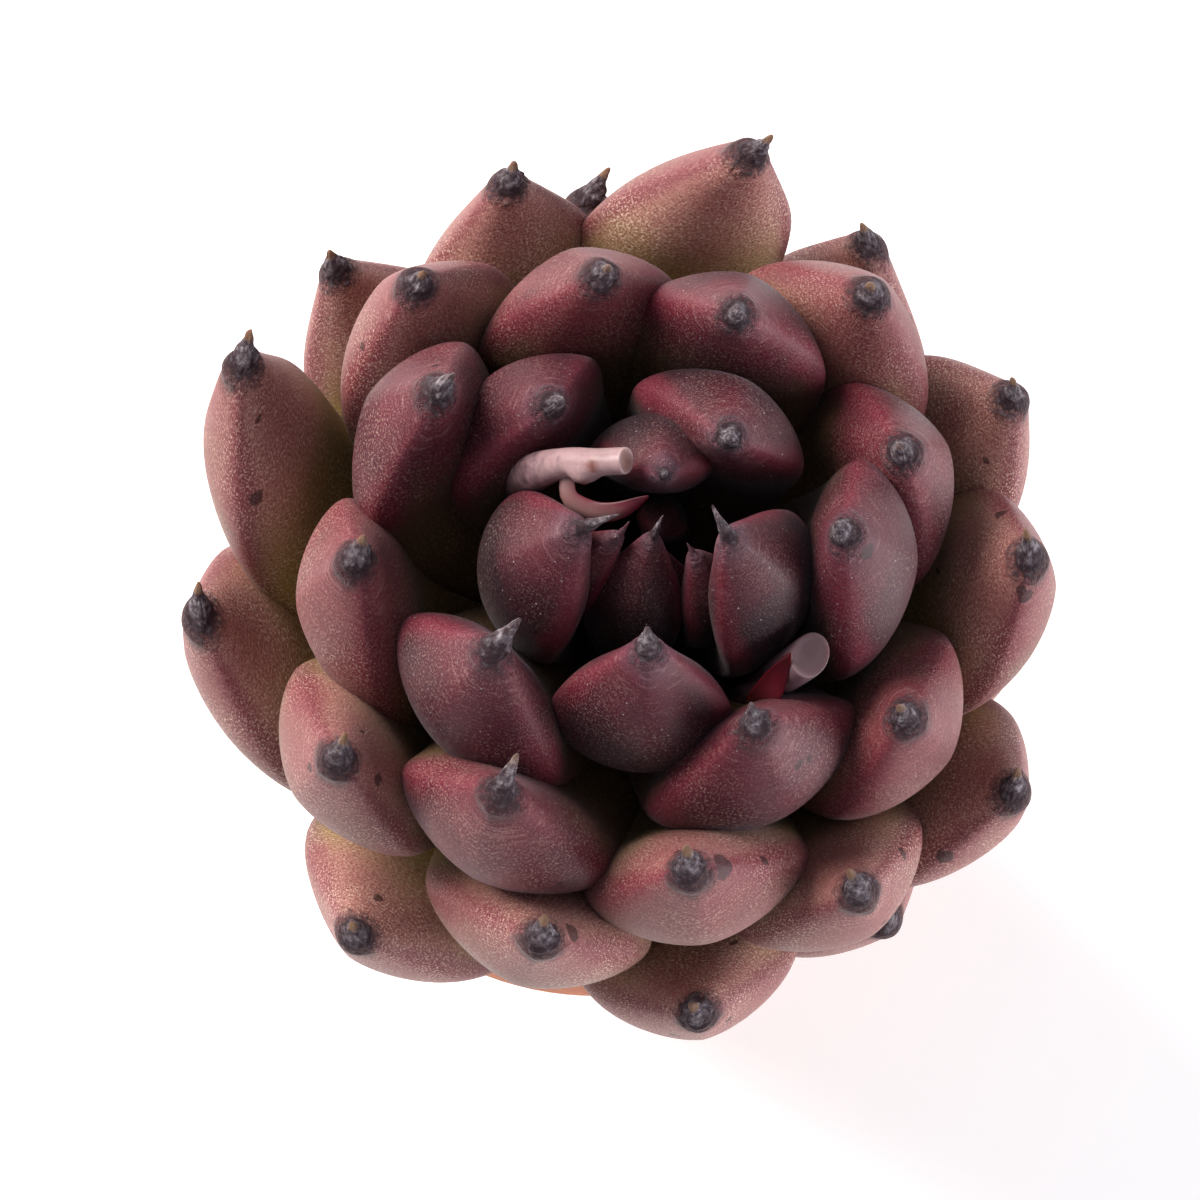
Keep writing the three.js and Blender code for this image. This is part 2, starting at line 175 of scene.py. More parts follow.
# Crown, cut flower stalks and their bracts, measured from the plant's place in millimetres. A nodule
# has its place, its width and how far it swells
CROWN_RADIUS = 4.8
CROWN_TOP = 6
CROWN_SKIN_AT = 0.3
LEFT_STALK = [
    (-7.2, 1.4, 2), (-8.7, 1.4, 12), (-8, 1.5, 17), (-6.2, 1.8, 20.6), (-4.5, 2, 21.9), (-2.9, 2.3, 23),
]
RIGHT_STALK = [(7.2, -4.6, 1), (8.4, -5.4, 9), (9.7, -5.3, 15), (10.9, -4.5, 19)]
LEFT_BRACT = [(-6.3, 1.9, 20.3), (-5.6, 0, 19.5), (-4, -0.5, 19.6), (-2.5, -0.1, 20.3), (-1, 1.1, 21.6)]
LEFT_NODULES = [((-4.7, 1.5, 22.7), 0.5, 0.3), ((-5.0, 0.9, 21.5), 0.5, 0.55)]
RIGHT_BRACT = [(9.2, -5.4, 12.6), (9.15, -7.1, 13.6), (9.3, -6.7, 16.6), (9.7, -5, 20.2)]
LEFT_RADII = [1.1, 1.08, 1.06, 1.04, 1.02, 1.02, 1.1, 1.28, 1.08, 0.84, 0.8, 0.82]
RIGHT_RADII = [1.1, 1.1, 1.1, 1.12, 1.15, 1.18, 1.22, 1.28]
STALK_STEP = 10
STALK_SIDES = 16
FLARE_FROM = 0.6
CUT_FROM = 0.97
PITH_DEPTH = 0.3
NODULE_SCAR = (0.5, 0.9)
NODULE_SWELL = (0.5, 2.4)
CUT_RINGS = [(0.93, 0.07), (0.78, 0.05), (0.62, -0.12), (0.3, -0.02)]
BRACT_LENGTH = 10
BRACT_WIDTHS = [(0, 0.55), (1.5, 0.75), (3.5, 0.98), (5.5, 0.95), (7.5, 0.7), (9, 0.38), (9.8, 0.12)]
BRACT_THINNING = 0.6
BRACT_CUPPING = 0.35

# Clay pot, soil and stem, in millimetres: the height and the rim come from the solid
POT_LOW, POT_HIGH = (Vector(corner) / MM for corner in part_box("pot"))
POT_HEIGHT = POT_HIGH.z
POT_RIM_RADIUS = (POT_HIGH.x - POT_LOW.x) / 2
POT_FOOT_RADIUS = 14.2
POT_WALL = 2.8
POT_FLOOR = 3.2
RIM_BAND_HEIGHT = 11
RIM_BAND_STEP = 1.7
BAND_SHOULDER = 1
DRAIN_RADIUS = 3
POT_SIDES = 120
POT_BAND = POT_HEIGHT - RIM_BAND_HEIGHT
WALL_TOP = POT_RIM_RADIUS - RIM_BAND_STEP - BAND_SHOULDER
INSIDE_TOP = POT_RIM_RADIUS - POT_WALL
INSIDE_BAND = WALL_TOP - POT_WALL + 0.6
INSIDE_FOOT = POT_FOOT_RADIUS - POT_WALL + 1
FOOT_ROUND = 0.8
FLOOR_ROUND = 1.5
POT_WOBBLE = 0.16
SOIL_TOP = 33.2
SOIL_RELIEF = 0.45
SOIL_STEPS = 26
SOIL_HEAP = 0.5
HEAP_WIDTH = 2.5
CRUMB_SIZE = 1.1
CRUMB_RELIEF = 0.3
GRIT_REACH = INSIDE_TOP - 3.2
GRIT_CLEARANCE = 0.5
STEM_RADIUS = 3.7
STEM_RINGS = 44
STEM_SCARS = 22
SCAR_RISE = 0.27
BARK_WEAR = 0.18


# ---- Helpers ----

def linear(colour):
    """An sRGB hex value as a linear colour."""
    shares = [int(colour[i:i + 2], 16) / 255 for i in (1, 3, 5)]
    return [c / 12.92 if c <= 0.04045 else ((c + 0.055) / 1.055) ** 2.4 for c in shares] + [1]


def set_inputs(tree, node, inputs):
    """Gives a node's sockets, by name or number, their values or links."""
    for socket, value in inputs.items():
        if isinstance(value, bpy.types.NodeSocket):
            tree.links.new(value, node.inputs[socket])
        else:
            node.inputs[socket].default_value = value


def add_node(tree, kind, inputs=None, stops=None, **settings):
    """Adds a shader node, with its settings, its inputs as values or links, and a ramp's stops."""
    node = tree.nodes.new("ShaderNode" + kind)
    for name, value in settings.items():
        setattr(node, name, value)
    set_inputs(tree, node, inputs or {})
    for i, (at, colour) in enumerate(stops or []):
        ramp = node.color_ramp.elements
        stop = ramp[i] if i < 2 else ramp.new(at)
        stop.position = at
        stop.color = linear(colour) if isinstance(colour, str) else (colour, colour, colour, 1)
    return node


def noise_of(tree, place, size, detail=2, rough=0.5):
    """Soft noise with patches about that wide, in metres."""
    settings = {"Vector": place, "Scale": 1 / size, "Detail": detail, "Roughness": rough}
    return add_node(tree, "TexNoise", settings).outputs["Fac"]


def cells_of(tree, place, size):
    """Cells about that wide, in metres."""
    settings = {"Vector": place, "Scale": 1 / size, "Randomness": 1.0}
    return add_node(tree, "TexVoronoi", settings).outputs


def sum_of(tree, value, factor, added):
    """value times factor, plus added."""
    parts = {0: value, 1: factor, 2: added}
    return add_node(tree, "Math", parts, operation="MULTIPLY_ADD").outputs[0]


def product(tree, one, other):
    return add_node(tree, "Math", {0: one, 1: other}, operation="MULTIPLY").outputs[0]


def wave_of(tree, operation, value, waves):
    """The sine or cosine of the value, that many waves to a unit."""
    turned = product(tree, value, waves * 2 * math.pi)
    return add_node(tree, "Math", {0: turned}, operation=operation).outputs[0]


def spread(tree, value, low, high, start=0.0, end=1.0):
    """Maps low to start and high to end, with soft ends."""
    limits = {"Value": value, "From Min": low, "From Max": high, "To Min": start, "To Max": end}
    return add_node(tree, "MapRange", limits, interpolation_type="SMOOTHSTEP").outputs[0]


def ramp_of(tree, value, stops):
    """A colour for each value; the first two stops are the outer ones."""
    return add_node(tree, "ValToRGB", {"Fac": value}, stops=stops).outputs["Color"]


def blend(tree, share, one, other):
    """Colour one, covered by the other for that share of the way."""
    one, other = (linear(colour) if isinstance(colour, str) else colour for colour in (one, other))
    mixed = {"Factor": share, "A": one, "B": other}
    return add_node(tree, "Mix", mixed, data_type="RGBA").outputs["Result"]


def emboss(tree, shader, height, strength, depth):
    settings = {"Height": height, "Strength": strength, "Distance": depth}
    bump = add_node(tree, "Bump", settings)
    set_inputs(tree, shader, {"Normal": bump.outputs["Normal"]})


def marked(tree, name):
    """The number that the mesh keeps for each vertex under that name."""
    return add_node(tree, "Attribute", attribute_name=name).outputs["Fac"]


def object_place(tree):
    return add_node(tree, "TexCoord").outputs["Object"]


def new_material(name):
    """A new material's node tree and its Principled shader."""
    material = bpy.data.materials.new(name)
    material.use_nodes = True
    tree = material.node_tree
    return material, tree, tree.nodes["Principled BSDF"]


def deselect():
    if bpy.context.mode != "OBJECT":
        bpy.ops.object.mode_set(mode="OBJECT")
    bpy.ops.object.select_all(action="DESELECT")


def apply_modifiers(piece):
    deselect()
    piece.select_set(True)
    bpy.context.view_layer.objects.active = piece
    for modifier in list(piece.modifiers):
        bpy.ops.object.modifier_apply(modifier=modifier.name)


def pick(piece, wanted):
    """In edit mode, selects only the vertices for which wanted is true."""
    bpy.ops.object.mode_set(mode="OBJECT")
    mesh = piece.data
    for part in (mesh.vertices, mesh.edges, mesh.polygons):
        part.foreach_set("select", [False] * len(part))
    for vertex in mesh.vertices:
        vertex.select = wanted(vertex)
    bpy.ops.object.mode_set(mode="EDIT")
    bpy.ops.mesh.select_mode(type="VERT")


def subdivide(piece, levels):
    """Rounds a piece off with subdivision, applies it and shades the piece smooth."""
    smooth = piece.modifiers.new("smooth", "SUBSURF")
    smooth.levels = smooth.render_levels = levels
    apply_modifiers(piece)
    bpy.ops.object.shade_smooth()


def coordinates(mesh):
    """The places of the mesh's vertices, a row each."""
    co = np.empty(len(mesh.vertices) * 3)
    mesh.vertices.foreach_get("co", co)
    return co.reshape(-1, 3)


def move_to(mesh, places):
    mesh.vertices.foreach_set("co", np.ravel(places))
    mesh.update()


def blade_map(mesh):
    """The mesh's own map, under the name that the leaf skin reads."""
    sheet = mesh.uv_layers.get("UVMap") or mesh.uv_layers.new(name="UVMap")
    sheet.name = "blade"
    return mesh.uv_layers["blade"]


def stand_for(piece, node, material):
    """Makes piece the look of a CAD node: gives it the material, hangs it on the root body and hides the
    node.
    """
    piece.data.materials.clear()
    piece.data.materials.append(material)
    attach(piece, "root")
    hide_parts(node)


def smooth_step(value, low, high):
    share = np.clip((value - low) / (high - low), 0, 1)
    return share * share * (3 - 2 * share)


def unit(rows):
    return rows / np.linalg.norm(rows, axis=1, keepdims=True)


def walk(line):
    """How far along the line each of its points lies."""
    steps = np.linalg.norm(np.diff(line, axis=0), axis=1)
    return np.concatenate([[0], np.cumsum(steps)])


def read_off(line, walked, want):
    """The line's values at the wanted distances along it."""
    return np.stack([np.interp(want, walked, column) for column in line.T], 1)


def paint(mesh, name, values):
    """Keeps one number for every vertex under a name that a material reads."""
    kept = mesh.attributes.new(name, "FLOAT", "POINT")
    kept.data.foreach_set("value", values)


def draw_out(sections):
    """In edit mode, draws the selected end up through sections: height, half width, half thickness."""
    height, wide, thick = sections[0]
    for next_height, next_wide, next_thick in sections[1:]:
        bpy.ops.mesh.extrude_region_move(TRANSFORM_OT_translate={"value": (0, 0, next_height - height)})
        bpy.ops.transform.resize(
            value=(next_wide / wide, next_thick / thick, 1), center_override=(0, 0, next_height))
        height, wide, thick = next_height, next_wide, next_thick


def make_rings(name, rings, sides, closed=True):
    """A turned form drawn upwards ring by ring: radius and height in millimetres."""
    deselect()
    radius, height = rings[0]
    fill = "NGON" if closed else "NOTHING"
    bpy.ops.mesh.primitive_circle_add(
        vertices=sides, radius=radius, fill_type=fill, location=(0, 0, height))
    piece = bpy.context.object
    piece.name = name
    bpy.ops.object.transform_apply(location=True, rotation=True, scale=True)
    bpy.ops.object.mode_set(mode="EDIT")
    bpy.ops.mesh.select_all(action="SELECT")
    draw_out([(height, radius, radius) for radius, height in rings])
    bpy.ops.mesh.select_all(action="SELECT")
    bpy.ops.mesh.remove_doubles(threshold=0.001)
    bpy.ops.mesh.normals_make_consistent(inside=False)
    bpy.ops.object.mode_set(mode="OBJECT")
    return piece


def make_oval(name, sections, sides, end):
    """An oval form drawn upwards section by section and closed in a point, left in edit mode."""
    deselect()
    bpy.ops.mesh.primitive_circle_add(vertices=sides, radius=1, fill_type="NGON")
    piece = bpy.context.object
    piece.name = name
    bpy.ops.object.mode_set(mode="EDIT")
    bpy.ops.mesh.select_all(action="SELECT")
    _, wide, thick = sections[0]
    bpy.ops.transform.resize(value=(wide, thick, 1), center_override=(0, 0, 0))
    draw_out(sections)
    bpy.ops.mesh.extrude_region_move(TRANSFORM_OT_translate={"value": (0, 0, end)})
    bpy.ops.mesh.merge(type="CENTER")
    bpy.ops.mesh.select_all(action="SELECT")
    bpy.ops.mesh.normals_make_consistent(inside=False)
    return piece


def settle(piece, place=(0, 0, 0)):
    """Brings a piece that was modelled in millimetres to its size and place."""
    piece.data.transform(Matrix.Translation(Vector(place)) @ Matrix.Scale(MM, 4))
    piece.data.update()


# ---- Materials ----

def make_leaf_skin():
    """Living succulent skin under a thin wax bloom. Red pigment sits in the skin over olive flesh: the
    eye sees dusty mauve with fine pale flecks, a red flush at tips and edges, olive at the shaded base
    and near black in the youngest leaves. Each leaf ends in a charcoal cork point."""
    material, tree, shader = new_material("waxy_leaf_skin")
    place = object_place(tree)
    sheet = add_node(tree, "UVMap", uv_map="blade").outputs["UV"]
    spot = add_node(tree, "SeparateXYZ", {"Vector": sheet})
    around, along = spot.outputs["X"], spot.outputs["Y"]
    age = marked(tree, "age")

    # Drifts of colour a few millimetres wide, so that no two leaves and no two sides match
    sway = sum_of(tree, noise_of(tree, place, 4 * MM, 3), 1, -0.5)
    body = ramp_of(tree, sum_of(tree, sway, 0.14, age), [
        (0.0, "#10060c"), (1.0, "#94645c"), (0.07, "#14070f"), (0.13, "#1e0812"), (0.28, "#340a17"),
        (0.38, "#46151f"), (0.47, "#733c3c"), (0.65, "#87534d")])
    # Old leaves turn greyish brown away from the point, and their inner faces are painted lighter:
    # painted light where it falls on them
    off_point = spread(tree, sum_of(tree, sway, 0.4, along), 0.9, 0.55, 0, 0.72)
    greyed = product(tree, off_point, spread(tree, age, 0.4, 0.58))
    body = blend(tree, greyed, body, "#62503f")
    facing_in = wave_of(tree, "SINE", around, 1)
    inner_face_painted_light = product(tree, spread(tree, facing_in, 0.1, 0.7, 0, 0.55), spread(tree, age, 0.42, 0.6))
    body = blend(tree, inner_face_painted_light, body, "#b88a7b")
    # Red flush: strongest just under the point, and down both edges
    edges = wave_of(tree, "COSINE", around, 2)
    edge_flush = spread(tree, sum_of(tree, sway, 0.8, edges), 0.35, 1.15, 0, 0.62)
    tip_flush = spread(tree, sum_of(tree, sway, 0.25, along), 0.66, 0.97, 0, 0.5)
    flushed = blend(tree, edge_flush, body, "#6c182c")
    flushed = blend(tree, tip_flush, flushed, "#6f1f31")
    # Olive flesh shows where little light reached the skin: at the base, and on the inner face
    shaded = sum_of(tree, spread(tree, facing_in, 0, 0.6), -0.16, sum_of(tree, sway, 0.2, along))
    olive = ramp_of(tree, age, [(0.1, "#1e1013"), (0.8, "#978138"), (0.45, "#624928")])
    based = blend(tree, spread(tree, shaded, 0.7, 0.42, 0, 0.94), flushed, olive)

    # Skin cells 0.12 mm long and twice as wide: dark between them, pale wax on top of them
    cells_at = add_node(tree, "Mapping", {"Vector": sheet, "Scale": (145, 230, 1)})
    cells = noise_of(tree, cells_at.outputs["Vector"], 1, 2, 0.6)
    grain = sum_of(tree, cells, 0.6, product(tree, noise_of(tree, place, 0.16 * MM, 2, 0.6), 0.4))
    pitted = blend(tree, spread(tree, grain, 0.5, 0.36, 0, 0.42), based, "#24090f")
    patchy = spread(tree, noise_of(tree, place, 5 * MM, 3), 0.3, 0.7, 0.3, 1)
    wax_share = product(tree, patchy, spread(tree, age, 0.2, 0.8, 0.16, 0.85))
    waxed = blend(tree, product(tree, spread(tree, grain, 0.49, 0.64), wax_share), pitted, "#d8bda9")

    # Fine pale lines where the skin stretched round the tip
    drawn = add_node(tree, "Mapping", {"Vector": sheet, "Scale": (13, 110, 1)})
    shifted = add_node(tree, "CombineXYZ", {"Z": product(tree, age, 90)})
    parts = {0: drawn.outputs["Vector"], 1: shifted.outputs[0]}
    lines_at = add_node(tree, "VectorMath", parts, operation="ADD")
    streaks = noise_of(tree, lines_at.outputs[0], 1, 3)
    line_share = product(
        tree, spread(tree, streaks, 0.55, 0.68, 0, 0.16), spread(tree, along, 0.8, 0.93))
    lined = blend(tree, line_share, waxed, "#c49a96")
    # Young leaves keep a blue-grey streak below the point, and specks of dust
    near_point = spread(tree, sum_of(tree, sway, 0.12, along), 0.89, 0.965, 0, 0.24)
    streaked = blend(tree, product(tree, near_point, spread(tree, age, 0.4, 0.12)), lined, "#6c6170")
    dust = sum_of(tree, grain, 0.3, cells_of(tree, place, 0.75 * MM)["Distance"])
    specks = spread(tree, dust, 0.24, 0.17, 0, 0.6)
    dusty = spread(tree, age, 0.6, 0.15, 0.08, 1)
    dusted = blend(tree, product(tree, specks, dusty), streaked, "#cfc3c4")
    # Old scars, dark maroon with ragged outlines, and a bruised patch down the keel from the point
    ragged = noise_of(tree, place, 0.45 * MM, 3, 0.65)
    scar = spread(tree, sum_of(tree, ragged, 1.1, marked(tree, "scar")), 0.95, 1.15, 0, 0.75)
    scarred = blend(tree, scar, dusted, "#240e12")
    keeled = sum_of(tree, spread(tree, facing_in, 0, -1), 0.024, sum_of(tree, ragged, 0.03, along))
    bruise = product(
        tree, spread(tree, keeled, 0.95, 0.99, 0, 0.8), spread(tree, age, 0.2, 0.5, 0.25, 1))
    bruised = blend(tree, bruise, scarred, "#2c1016")

    # The dry point: wrinkled charcoal cork, paler on its folds, tan at its very end on old leaves
    cork_edge = sum_of(tree, ragged, 0.07, along)
    folded = sum_of(tree, streaks, 0.4, product(tree, ragged, 0.6))
    fold_tone = sum_of(tree, spread(tree, along, 0.97, 1.005), 0.16, sum_of(tree, folded, 1, -0.07))
    cork = ramp_of(tree, fold_tone, [
        (0.36, "#210f15"), (0.74, "#8d8489"), (0.48, "#322127"), (0.6, "#554b50")])
    at_end = spread(tree, sum_of(tree, ragged, 0.02, along), 1.027, 1.038)
    pointed = blend(tree, product(tree, at_end, spread(tree, age, 0.3, 0.5, 0, 0.8)), cork, "#7a5c43")
    corky = product(tree, spread(tree, cork_edge, 0.986, 1.008), spread(tree, age, 0.065, 0.09))
    folds = product(tree, ragged, spread(tree, cork_edge, 0.975, 0.995, 0, 4))
    wrinkles = product(tree, streaks, spread(tree, along, 0.72, 0.92, 0, 1.1))
    relief = sum_of(tree, grain, 1, sum_of(tree, wrinkles, 1, folds))
    emboss(tree, shader, relief, 0.7, 0.08 * MM)
    set_inputs(tree, shader, {
        "Base Color": blend(tree, corky, bruised, pointed),
        "Roughness": sum_of(tree, corky, 0.3, spread(tree, grain, 0.3, 0.7, 0.46, 0.66)), "IOR": 1.38,
        "Subsurface Weight": 0.1, "Subsurface Radius": (1.0, 0.25, 0.15), "Subsurface Scale": 1.2 * MM,
        "Sheen Weight": 0.08, "Sheen Roughness": 0.3, "Sheen Tint": linear("#dcd8e6")})
    return material


# ---- Leaves ----

def width_share(along):
    if along < WIDEST_AT:
        grown = math.sin(math.pi / 2 * along / WIDEST_AT)
        return NECK_WIDTH_SHARE + (1 - NECK_WIDTH_SHARE) * grown
    return 1 - min(1, (along - WIDEST_AT) / (1 - WIDEST_AT)) ** WIDTH_TAPER


def thickness_share(along):
    if along < THICKEST_AT:
        grown = math.sin(math.pi / 2 * along / THICKEST_AT)
        return NECK_THICKNESS_SHARE + (1 - NECK_THICKNESS_SHARE) * grown
    past = min(1, (along - THICKEST_AT) / (1 - THICKEST_AT))
    return (1 - past ** THICKNESS_TAPER) ** THICKNESS_ROUND


def make_leaf_pattern():
    """One straight leaf standing on its root, with a half width, a thickness and a length of 1."""
    sections = [(at, width_share(at), thickness_share(at)) for at in BLADE_STATIONS]
    for at, radius in POINT_RINGS:
        sections.append((at, radius / LEAF_HALF_WIDTH, 2 * radius / LEAF_THICKNESS))
    pattern = make_oval("leaf_pattern", sections, LEAF_SIDES, POINT_END)
    # The inner face is flatter than the outer face
    pick(pattern, lambda v: v.co.y > 1e-4)
    bpy.ops.transform.resize(value=(1, INNER_FACE_SHARE, 1), center_override=(0, 0, 0))
    pick(pattern, lambda v: v.co.y < -1e-4)
    bpy.ops.transform.resize(value=(1, 1 - INNER_FACE_SHARE, 1), center_override=(0, 0, 0))
    bpy.ops.object.mode_set(mode="OBJECT")
    subdivide(pattern, 2)
    shape_blade(pattern.data)
    unwrap_blade(pattern.data)
    return pattern


def shape_blade(mesh):
    """Gives the oval blade its edges and keel, and slims its end towards the point."""
    x, y, along = coordinates(mesh).T
    widest = np.interp(along, BLADE_STATIONS, [width_share(at) for at in BLADE_STATIONS])
    across = np.clip(np.abs(x) / widest, 0, 0.995)
    inner = (1 - across ** INNER_FLATNESS) ** EDGE_SHARPNESS
    keel = KEEL_LOW + (KEEL_HIGH - KEEL_LOW) * smooth_step(along, *KEEL_CHANGES)
    outer = (1 - across ** keel) ** EDGE_SHARPNESS
    share = smooth_step(along, *SECTION_COMES) * smooth_step(along, POINT_FROM, SECTION_ENDS)
    y *= 1 + share * (np.where(y > 0, inner, outer) / np.sqrt(1 - across ** 2) - 1)
    slimmed = smooth_step(along, *SLIMMING_COMES) * smooth_step(along, POINT_FROM, SLIMMING_ENDS)
    x *= 1 - SLIMMING[0] * slimmed
    y *= 1 - SLIMMING[1] * slimmed
    move_to(mesh, np.stack([x, y, along], 1))


def unwrap_blade(mesh):
    """Lays the blade out flat: across is the way round it from one edge, up is the way along it."""
    sheet = blade_map(mesh)
    co = coordinates(mesh)
    corner = np.empty(len(mesh.loops), int)
    mesh.loops.foreach_get("vertex_index", corner)
    turn = np.arctan2(co[:, 1] * 2, co[:, 0]) / (2 * math.pi) % 1
    turn[turn > 1 - 1e-5] = 0
    uv = np.stack([turn[corner], co[corner, 2]], 1)
    for face in mesh.polygons:
        loops = slice(face.loop_start, face.loop_start + face.loop_total)
        share = uv[loops, 0]
        if share.max() - share.min() > 0.5:
            share[share < 0.5] += 1
    sheet.data.foreach_set("uv", uv.ravel())


def leaf_shape(age):
    """How a leaf of one age lies, in millimetres and radians, as in the part."""
    turned, further, higher, leaning, wider = STRAY_LEAVES.get(age, ON_THE_SPIRAL)
    grown = max(age, 0) / SPIRAL_FULL
    reach = SPIRAL_REACH * math.sin(math.pi / 2 * min(grown, SPIRAL_LIMIT))
    sunk = (max(0, age - HEART_LEAVES) / SINK_SPAN) ** SINK_POWER
    height = HEART_HEIGHT * (1 - sunk) + HEART_DROP * min(0, age)
    youth = max(LAST_LEAF - age, 0) / LAST_LEAF
    vigour = (age + 1) / FULL_SIZE_AGE if age > 1 else HEART_VIGOUR * HEART_SHRINK ** (1 - age)
    return {
        "azimuth": math.radians(FIRST_AZIMUTH - SPIRAL_ANGLE * age + turned),
        "lean": math.radians(TIP_LEAN + leaning),
        "tip": np.array([max(reach, CLOSEST_REACH) + further, height + higher]),
        "root": np.array([1 + ROOT_SPREAD * max(age, 0), HEART_ROOT - ROOT_STEP * (max(age, -1) - 1)]),
        "leaving": math.radians(OLD_LEAVING + YOUNG_LEAVING * youth ** 2),
        "arriving": math.radians(YOUNG_ARRIVING - ARRIVING_STEP * max(age, 0)),
        "half_width": LEAF_HALF_WIDTH * (1 + wider) * (1 - math.exp(-vigour)),
        "thickness": LEAF_THICKNESS * (1 - math.exp(-vigour - 1 / FULL_SIZE_AGE)),
    }


def midrib(leaf, along):
    """Places and headings along the leaf's midrib, by arc length, and its whole length."""
    root, tip = leaf["root"], leaf["tip"]
    chord = np.linalg.norm(tip - root)
    leave = np.array([math.cos(leaf["leaving"]), math.sin(leaf["leaving"])])
    arrive = np.array([math.cos(leaf["arriving"]), math.sin(leaf["arriving"])])
    a = root + ROOT_HANDLE * chord * leave
    b = tip - TIP_HANDLE * chord * arrive
    t = np.linspace(0, 1, 201)[:, None]
    line = (1 - t) ** 3 * root + 3 * (1 - t) ** 2 * t * a + 3 * (1 - t) * t * t * b + t ** 3 * tip
    way = 3 * (1 - t) ** 2 * (a - root) + 6 * (1 - t) * t * (b - a) + 3 * t * t * (tip - b)
    walked = walk(line)
    want = np.clip(along, 0, 1) * walked[-1]
    at = read_off(line, walked, want)
    heading = unit(read_off(unit(way), walked, want))
    at += heading * (np.maximum(along - 1, 0) * walked[-1])[:, None]
    return at, heading, walked[-1]


def grow_leaf(pattern, age, skin):
    """A copy of the leaf pattern, bent along its own midrib, dented a little and set in the spiral."""
    draw = random.Random(100 + age)
    leaf = leaf_shape(age)
    piece = pattern.copy()
    piece.data = pattern.data.copy()
    piece.name = f"leaf_{age - FIRST_LEAF + 1:02d}"
    piece.data.name = piece.name
    bpy.context.collection.objects.link(piece)
    mesh = piece.data
    x, y, along = coordinates(mesh).T
    around = np.arctan2(2 * y, x)

    # No two leaves are quite alike: shallow dents, and a point that is longer, thicker or bent
    dents = np.zeros(len(x))
    for waves, steps in DENT_WAVES:
        deep, phase = draw.uniform(0.3, 1), draw.uniform(0, 2 * math.pi)
        dents += deep * np.sin(waves * around + steps * along + phase)
    swell = 1 + DENT_DEPTH * dents * smooth_step(along, 0, 0.4) * smooth_step(along, 0.97, 0.9)
    length_share = POINT_LENGTHS.get(age, draw.uniform(*POINT_SHARES))
    point = smooth_step(along, POINT_FROM - 0.01, POINT_FROM + 0.02)
    swell *= 1 + point * (draw.uniform(*POINT_GIRTHS) - 1)
    if age < SLENDER_BEFORE:
        swell *= 1 - SLENDER_SHARE * smooth_step(along, POINT_FROM - 0.03, POINT_FROM + 0.01)
    for i in np.flatnonzero(point > 0):
        spot = Vector((1.6 * math.cos(around[i]), 1.6 * math.sin(around[i]), 60 * along[i] + 3 * age))
        swell[i] *= 1 + POINT_ROUGHNESS * point[i] * noise.noise(spot)
    stretched = along + np.maximum(0, along - POINT_FROM) * (length_share - 1)

    at, heading, length = midrib(leaf, stretched)
    lean = leaf["lean"]
    facing = leaf["azimuth"] + lean
    out = np.array([math.cos(facing), math.sin(facing), 0])
    side = np.array([-out[1], out[0], 0])
    up = np.array([0, 0, 1])
    bend = np.maximum(0, (along - LEAN_FROM) / (1 - LEAN_FROM)) ** LEAN_POWER
    curl = np.maximum(0, stretched - POINT_FROM) * length
    across = leaf["half_width"] * x * swell - leaf["tip"][0] * math.sin(lean) * bend
    rise = leaf["thickness"] * y * swell
    way = np.array(POINT_WAYS.get(age, LIGHT_WAY)) - 0.5 * out + draw.uniform(-0.4, 0.4) * side
    place = (
        np.outer(at[:, 0] - heading[:, 1] * rise, out)
        + np.outer(at[:, 1] + heading[:, 0] * rise, up)
        + np.outer(across, side)
        + np.outer(POINT_BEND[0] * curl + POINT_BEND[1] * curl ** 2, way)
    ) * MM + np.array(PLANT)
    move_to(mesh, place)
    paint(mesh, "age", np.full(len(x), (age - FIRST_LEAF) / (LAST_LEAF - FIRST_LEAF)))
    paint(mesh, "scar", scar_marks(place, around / (2 * math.pi) % 1, along, age, draw))
    stand_for(piece, "rosette", skin)


def scar_marks(place, around, along, age, draw):
    """How near each vertex lies to an old scar: a known one, or a few small ones on older leaves."""
    scars = list(SCARS.get(age, ()))
    for _ in range(draw.randint(0, 3) if age > 10 else 0):
        scars.append((draw.random(), draw.uniform(0.6, 0.93), draw.uniform(0.4, 0.8)))
    marks = np.zeros(len(along))
    for turn, height, width in scars:
        off = np.abs((around - turn + 0.5) % 1 - 0.5)
        centre = place[np.argmin(off + np.abs(along - height))]
        away = np.linalg.norm(place - centre, axis=1) / MM
        marks = np.maximum(marks, 1 - smooth_step(away, 0.15 * width, 0.85 * width))
    return marks


def make_leaves(skin):
    pattern = make_leaf_pattern()
    for age in range(FIRST_LEAF, LAST_LEAF + 1):
        grow_leaf(pattern, age, skin)
    bpy.data.objects.remove(pattern)


# ---- Cut flower stalks ----

def smooth_path(points, shares):
    """Places at shares of the length of a smooth curve through points, with two cross axes."""
    knots = np.array(points, float)
    padded = np.vstack([2 * knots[0] - knots[1], knots, 2 * knots[-1] - knots[-2]])
    fine = []
    for i in range(len(knots) - 1):
        a, b, c, d = padded[i:i + 4]
        for t in np.linspace(0, 1, 24, endpoint=i == len(knots) - 2):
            fine.append(0.5 * (2 * b + (c - a) * t + (2 * a - 5 * b + 4 * c - d) * t * t
                               + (3 * b - a - 3 * c + d) * t ** 3))
    fine = np.array(fine)
    walked = walk(fine)
    want = np.array(shares) * walked[-1]
    ahead = unit(np.gradient(fine, axis=0))
    cross = np.cross(ahead[0], (0.3, 0.5, 0.8))
    crosses = []
    for way in ahead:
        cross = cross - way * cross.dot(way)
        cross /= np.linalg.norm(cross)
        crosses.append(cross)
    way = unit(read_off(ahead, walked, want))
    one = unit(read_off(np.array(crosses), walked, want))
    return read_off(fine, walked, want), one, np.cross(way, one), walked[-1]


